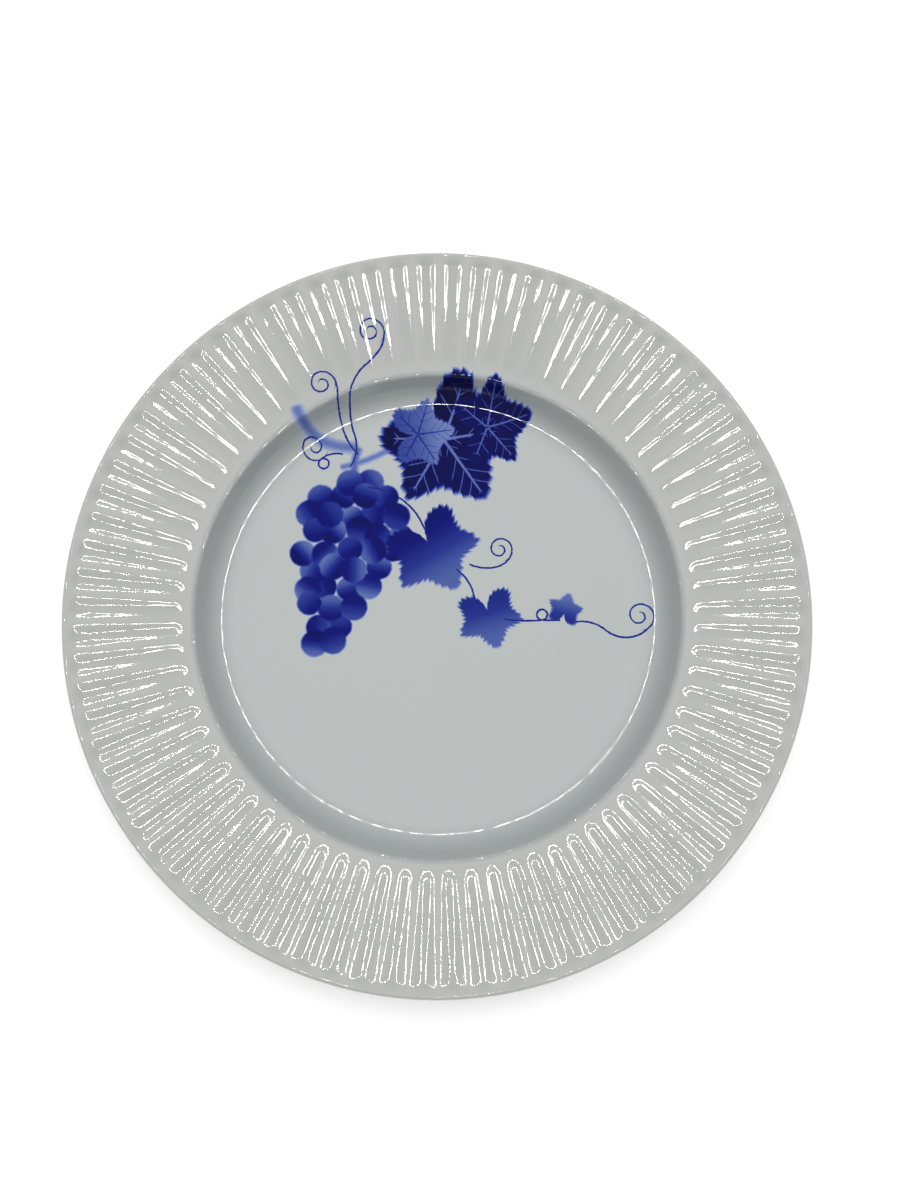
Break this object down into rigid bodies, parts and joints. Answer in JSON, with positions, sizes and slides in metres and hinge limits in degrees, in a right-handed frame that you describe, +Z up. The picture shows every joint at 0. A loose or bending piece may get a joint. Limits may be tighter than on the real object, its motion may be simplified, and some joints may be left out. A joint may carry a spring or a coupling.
{
  "type": "fluted dinner plate",
  "caption": "Round porcelain dinner plate with a flat coved well, a wide rim of radial flutes, a rounded lip and a foot ring underneath.",
  "frame": {"origin": "centre of the foot ring's resting face, on the plate's axis", "axes": "+Z up along the plate's axis of revolution; +X to the right and +Y away from the diner, with the painted vine in the far half of the well"},
  "size_m": [0.27, 0.27, 0.027],
  "materials": {
    "glazed_porcelain": "glossy cool white glaze with a cobalt blue vine painted on the well"
  },
  "bodies": {
    "root": {"plate": "glazed_porcelain"}
  },
  "joints": []
}
